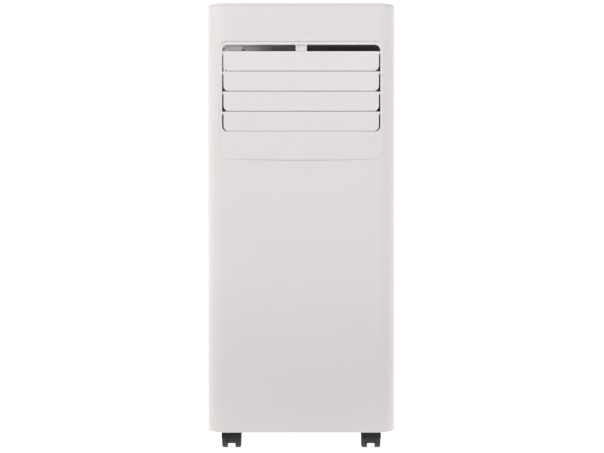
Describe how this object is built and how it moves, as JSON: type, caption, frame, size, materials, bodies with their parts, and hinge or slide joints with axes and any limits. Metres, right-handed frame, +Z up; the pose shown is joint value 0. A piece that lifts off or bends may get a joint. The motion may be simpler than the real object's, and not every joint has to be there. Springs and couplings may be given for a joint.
{
  "type": "portable air conditioner",
  "caption": "White floor-standing portable air conditioner on casters, with a ganged tilting louvre, rear grilles and an exhaust collar.",
  "frame": {"origin": "centre of the overall box, on the floor under the caster wheels", "axes": "+Z up, -Y towards the front with the louvre, +X to the right seen from the front"},
  "size_m": [0.292, 0.34, 0.7],
  "materials": {
    "casing_white": "fine moulded texture, satin",
    "pan_grey": "moulded",
    "panel_white": "satin",
    "blade_white": "satin",
    "link_grey": "moulded",
    "duct_dark": "moulded, dark",
    "vane_grey": "moulded",
    "control_grey": "satin",
    "display_black": "polished, dark",
    "board_green": "varnished board",
    "button_white": "satin",
    "filter_grey": "fine mesh",
    "duct_metal": "folded sheet",
    "stopper_rubber": "moulded rubber",
    "coil_aluminium": "bare fins",
    "housing_white": "moulded",
    "impeller_black": "moulded",
    "motor_steel": "plated steel",
    "compressor_paint": "black enamel",
    "foot_rubber": "moulded rubber",
    "pipe_copper": "bare copper tube",
    "pin_steel": "zinc plated",
    "caster_black": "moulded nylon",
    "wheel_black": "moulded nylon"
  },
  "bodies": {
    "cabinet": {"front_shell": "casing_white", "rear_shell": "casing_white", "top_cover": "casing_white", "base_pan": "pan_grey", "case_screws": "pin_steel", "outlet_frame": "panel_white", "outlet_duct": "duct_dark", "control_panel": "control_grey", "display_lens": "display_black", "control_board": "board_green", "lower_grille": "casing_white", "exhaust_collar": "casing_white", "exhaust_duct": "duct_metal", "cord_gland": "stopper_rubber", "evaporator": "coil_aluminium", "condenser": "coil_aluminium", "upper_scroll": "housing_white", "upper_motor": "motor_steel", "lower_scroll": "housing_white", "lower_motor": "motor_steel", "partition_tray": "pan_grey", "compressor": "compressor_paint", "compressor_feet": "foot_rubber", "refrigerant_pipes": "pipe_copper", "caster_stems": "pin_steel"},
    "blade_1": {"louver_blade_1": "blade_white"},
    "blade_2": {"louver_blade_2": "blade_white"},
    "blade_3": {"louver_blade_3": "blade_white"},
    "blade_4": {"louver_blade_4": "blade_white"},
    "blade_link": {"louver_link": "link_grey"},
    "air_vane_1": {"vane_1": "vane_grey"},
    "air_vane_2": {"vane_2": "vane_grey"},
    "air_vane_3": {"vane_3": "vane_grey"},
    "air_vane_4": {"vane_4": "vane_grey"},
    "air_vane_5": {"vane_5": "vane_grey"},
    "vane_bar": {"vane_link": "vane_grey"},
    "button_power_body": {"button_power": "button_white"},
    "button_mode_body": {"button_mode": "button_white"},
    "button_temp_down_body": {"button_temp_down": "button_white"},
    "button_temp_up_body": {"button_temp_up": "button_white"},
    "button_fan_body": {"button_fan": "button_white"},
    "button_timer_body": {"button_timer": "button_white"},
    "filter_door": {"filter_grille": "casing_white", "air_filter": "filter_grey"},
    "upper_stopper": {"drain_cap": "stopper_rubber"},
    "lower_stopper": {"drain_plug": "stopper_rubber"},
    "upper_fan": {"upper_wheel": "impeller_black"},
    "lower_fan": {"lower_wheel": "impeller_black"},
    "caster_1": {"caster_housing_1": "caster_black"},
    "wheels_1": {"caster_wheels_1": "wheel_black", "caster_axle_1": "pin_steel"},
    "caster_2": {"caster_housing_2": "caster_black"},
    "wheels_2": {"caster_wheels_2": "wheel_black", "caster_axle_2": "pin_steel"},
    "caster_3": {"caster_housing_3": "caster_black"},
    "wheels_3": {"caster_wheels_3": "wheel_black", "caster_axle_3": "pin_steel"},
    "caster_4": {"caster_housing_4": "caster_black"},
    "wheels_4": {"caster_wheels_4": "wheel_black", "caster_axle_4": "pin_steel"}
  },
  "joints": [
    {"name": "blade_1_tilt", "type": "hinge", "parent": "cabinet", "child": "blade_1", "pos_m": [0, -0.1658, 0.6228], "axis": [1, 0, 0], "range_deg": [0, 55]},
    {"name": "blade_2_tilt", "type": "hinge", "parent": "cabinet", "child": "blade_2", "pos_m": [0, -0.1658, 0.5919], "axis": [1, 0, 0], "range_deg": [0, 55]},
    {"name": "blade_3_tilt", "type": "hinge", "parent": "cabinet", "child": "blade_3", "pos_m": [0, -0.1658, 0.561], "axis": [1, 0, 0], "range_deg": [0, 55]},
    {"name": "blade_4_tilt", "type": "hinge", "parent": "cabinet", "child": "blade_4", "pos_m": [0, -0.1658, 0.5301], "axis": [1, 0, 0], "range_deg": [0, 55]},
    {"name": "blade_link_pivot", "type": "hinge", "parent": "blade_1", "child": "blade_link", "pos_m": [0.092, -0.1533, 0.5998], "axis": [1, 0, 0], "range_deg": [-55, 0]},
    {"name": "vane_1_swing", "type": "hinge", "parent": "cabinet", "child": "air_vane_1", "pos_m": [-0.092, -0.115, 0.5015], "axis": [0, 0, 1], "range_deg": [-35, 35]},
    {"name": "vane_2_swing", "type": "hinge", "parent": "cabinet", "child": "air_vane_2", "pos_m": [-0.046, -0.115, 0.5015], "axis": [0, 0, 1], "range_deg": [-35, 35]},
    {"name": "vane_3_swing", "type": "hinge", "parent": "cabinet", "child": "air_vane_3", "pos_m": [0, -0.115, 0.5015], "axis": [0, 0, 1], "range_deg": [-35, 35]},
    {"name": "vane_4_swing", "type": "hinge", "parent": "cabinet", "child": "air_vane_4", "pos_m": [0.046, -0.115, 0.5015], "axis": [0, 0, 1], "range_deg": [-35, 35]},
    {"name": "vane_5_swing", "type": "hinge", "parent": "cabinet", "child": "air_vane_5", "pos_m": [0.092, -0.115, 0.5015], "axis": [0, 0, 1], "range_deg": [-35, 35]},
    {"name": "vane_bar_pivot", "type": "hinge", "parent": "air_vane_3", "child": "vane_bar", "pos_m": [0, -0.126, 0.5045], "axis": [0, 0, 1], "range_deg": [-35, 35]},
    {"name": "button_power_press", "type": "slide", "parent": "cabinet", "child": "button_power_body", "axis": [0, 0, -1], "range_m": [0, 0.0012], "stiffness_N_per_m": 600},
    {"name": "button_mode_press", "type": "slide", "parent": "cabinet", "child": "button_mode_body", "axis": [0, 0, -1], "range_m": [0, 0.0012], "stiffness_N_per_m": 600},
    {"name": "button_temp_down_press", "type": "slide", "parent": "cabinet", "child": "button_temp_down_body", "axis": [0, 0, -1], "range_m": [0, 0.0012], "stiffness_N_per_m": 600},
    {"name": "button_temp_up_press", "type": "slide", "parent": "cabinet", "child": "button_temp_up_body", "axis": [0, 0, -1], "range_m": [0, 0.0012], "stiffness_N_per_m": 600},
    {"name": "button_fan_press", "type": "slide", "parent": "cabinet", "child": "button_fan_body", "axis": [0, 0, -1], "range_m": [0, 0.0012], "stiffness_N_per_m": 600},
    {"name": "button_timer_press", "type": "slide", "parent": "cabinet", "child": "button_timer_body", "axis": [0, 0, -1], "range_m": [0, 0.0012], "stiffness_N_per_m": 600},
    {"name": "filter_pull", "type": "slide", "parent": "cabinet", "child": "filter_door", "axis": [0, 1, 0], "range_m": [0, 0.04]},
    {"name": "drain_cap_pull", "type": "slide", "parent": "cabinet", "child": "upper_stopper", "axis": [0, 1, 0], "range_m": [0, 0.025]},
    {"name": "drain_plug_pull", "type": "slide", "parent": "cabinet", "child": "lower_stopper", "axis": [0, 1, 0], "range_m": [0, 0.025]},
    {"name": "upper_fan_spin", "type": "hinge", "parent": "cabinet", "child": "upper_fan", "pos_m": [-0.02, -0.096, 0.381], "axis": [0, 1, 0], "continuous": true},
    {"name": "lower_fan_spin", "type": "hinge", "parent": "cabinet", "child": "lower_fan", "pos_m": [-0.02, -0.034, 0.1563], "axis": [0, 1, 0], "continuous": true},
    {"name": "caster_1_swivel", "type": "hinge", "parent": "cabinet", "child": "caster_1", "pos_m": [-0.1113, -0.105, 0.038], "axis": [0, 0, 1], "continuous": true},
    {"name": "caster_1_roll", "type": "hinge", "parent": "caster_1", "child": "wheels_1", "pos_m": [-0.1113, -0.095, 0.016], "axis": [1, 0, 0], "continuous": true},
    {"name": "caster_2_swivel", "type": "hinge", "parent": "cabinet", "child": "caster_2", "pos_m": [0.1113, -0.105, 0.038], "axis": [0, 0, 1], "continuous": true},
    {"name": "caster_2_roll", "type": "hinge", "parent": "caster_2", "child": "wheels_2", "pos_m": [0.1113, -0.095, 0.016], "axis": [1, 0, 0], "continuous": true},
    {"name": "caster_3_swivel", "type": "hinge", "parent": "cabinet", "child": "caster_3", "pos_m": [-0.1113, 0.085, 0.038], "axis": [0, 0, 1], "continuous": true},
    {"name": "caster_3_roll", "type": "hinge", "parent": "caster_3", "child": "wheels_3", "pos_m": [-0.1113, 0.095, 0.016], "axis": [1, 0, 0], "continuous": true},
    {"name": "caster_4_swivel", "type": "hinge", "parent": "cabinet", "child": "caster_4", "pos_m": [0.1113, 0.085, 0.038], "axis": [0, 0, 1], "continuous": true},
    {"name": "caster_4_roll", "type": "hinge", "parent": "caster_4", "child": "wheels_4", "pos_m": [0.1113, 0.095, 0.016], "axis": [1, 0, 0], "continuous": true}
  ],
  "couplings": [
    {"joint": "blade_2_tilt", "follows": "blade_1_tilt", "ratio": 1},
    {"joint": "blade_3_tilt", "follows": "blade_1_tilt", "ratio": 1},
    {"joint": "blade_4_tilt", "follows": "blade_1_tilt", "ratio": 1},
    {"joint": "blade_link_pivot", "follows": "blade_1_tilt", "ratio": -1},
    {"joint": "vane_1_swing", "follows": "vane_3_swing", "ratio": 1},
    {"joint": "vane_2_swing", "follows": "vane_3_swing", "ratio": 1},
    {"joint": "vane_4_swing", "follows": "vane_3_swing", "ratio": 1},
    {"joint": "vane_5_swing", "follows": "vane_3_swing", "ratio": 1},
    {"joint": "vane_bar_pivot", "follows": "vane_3_swing", "ratio": -1}
  ]
}
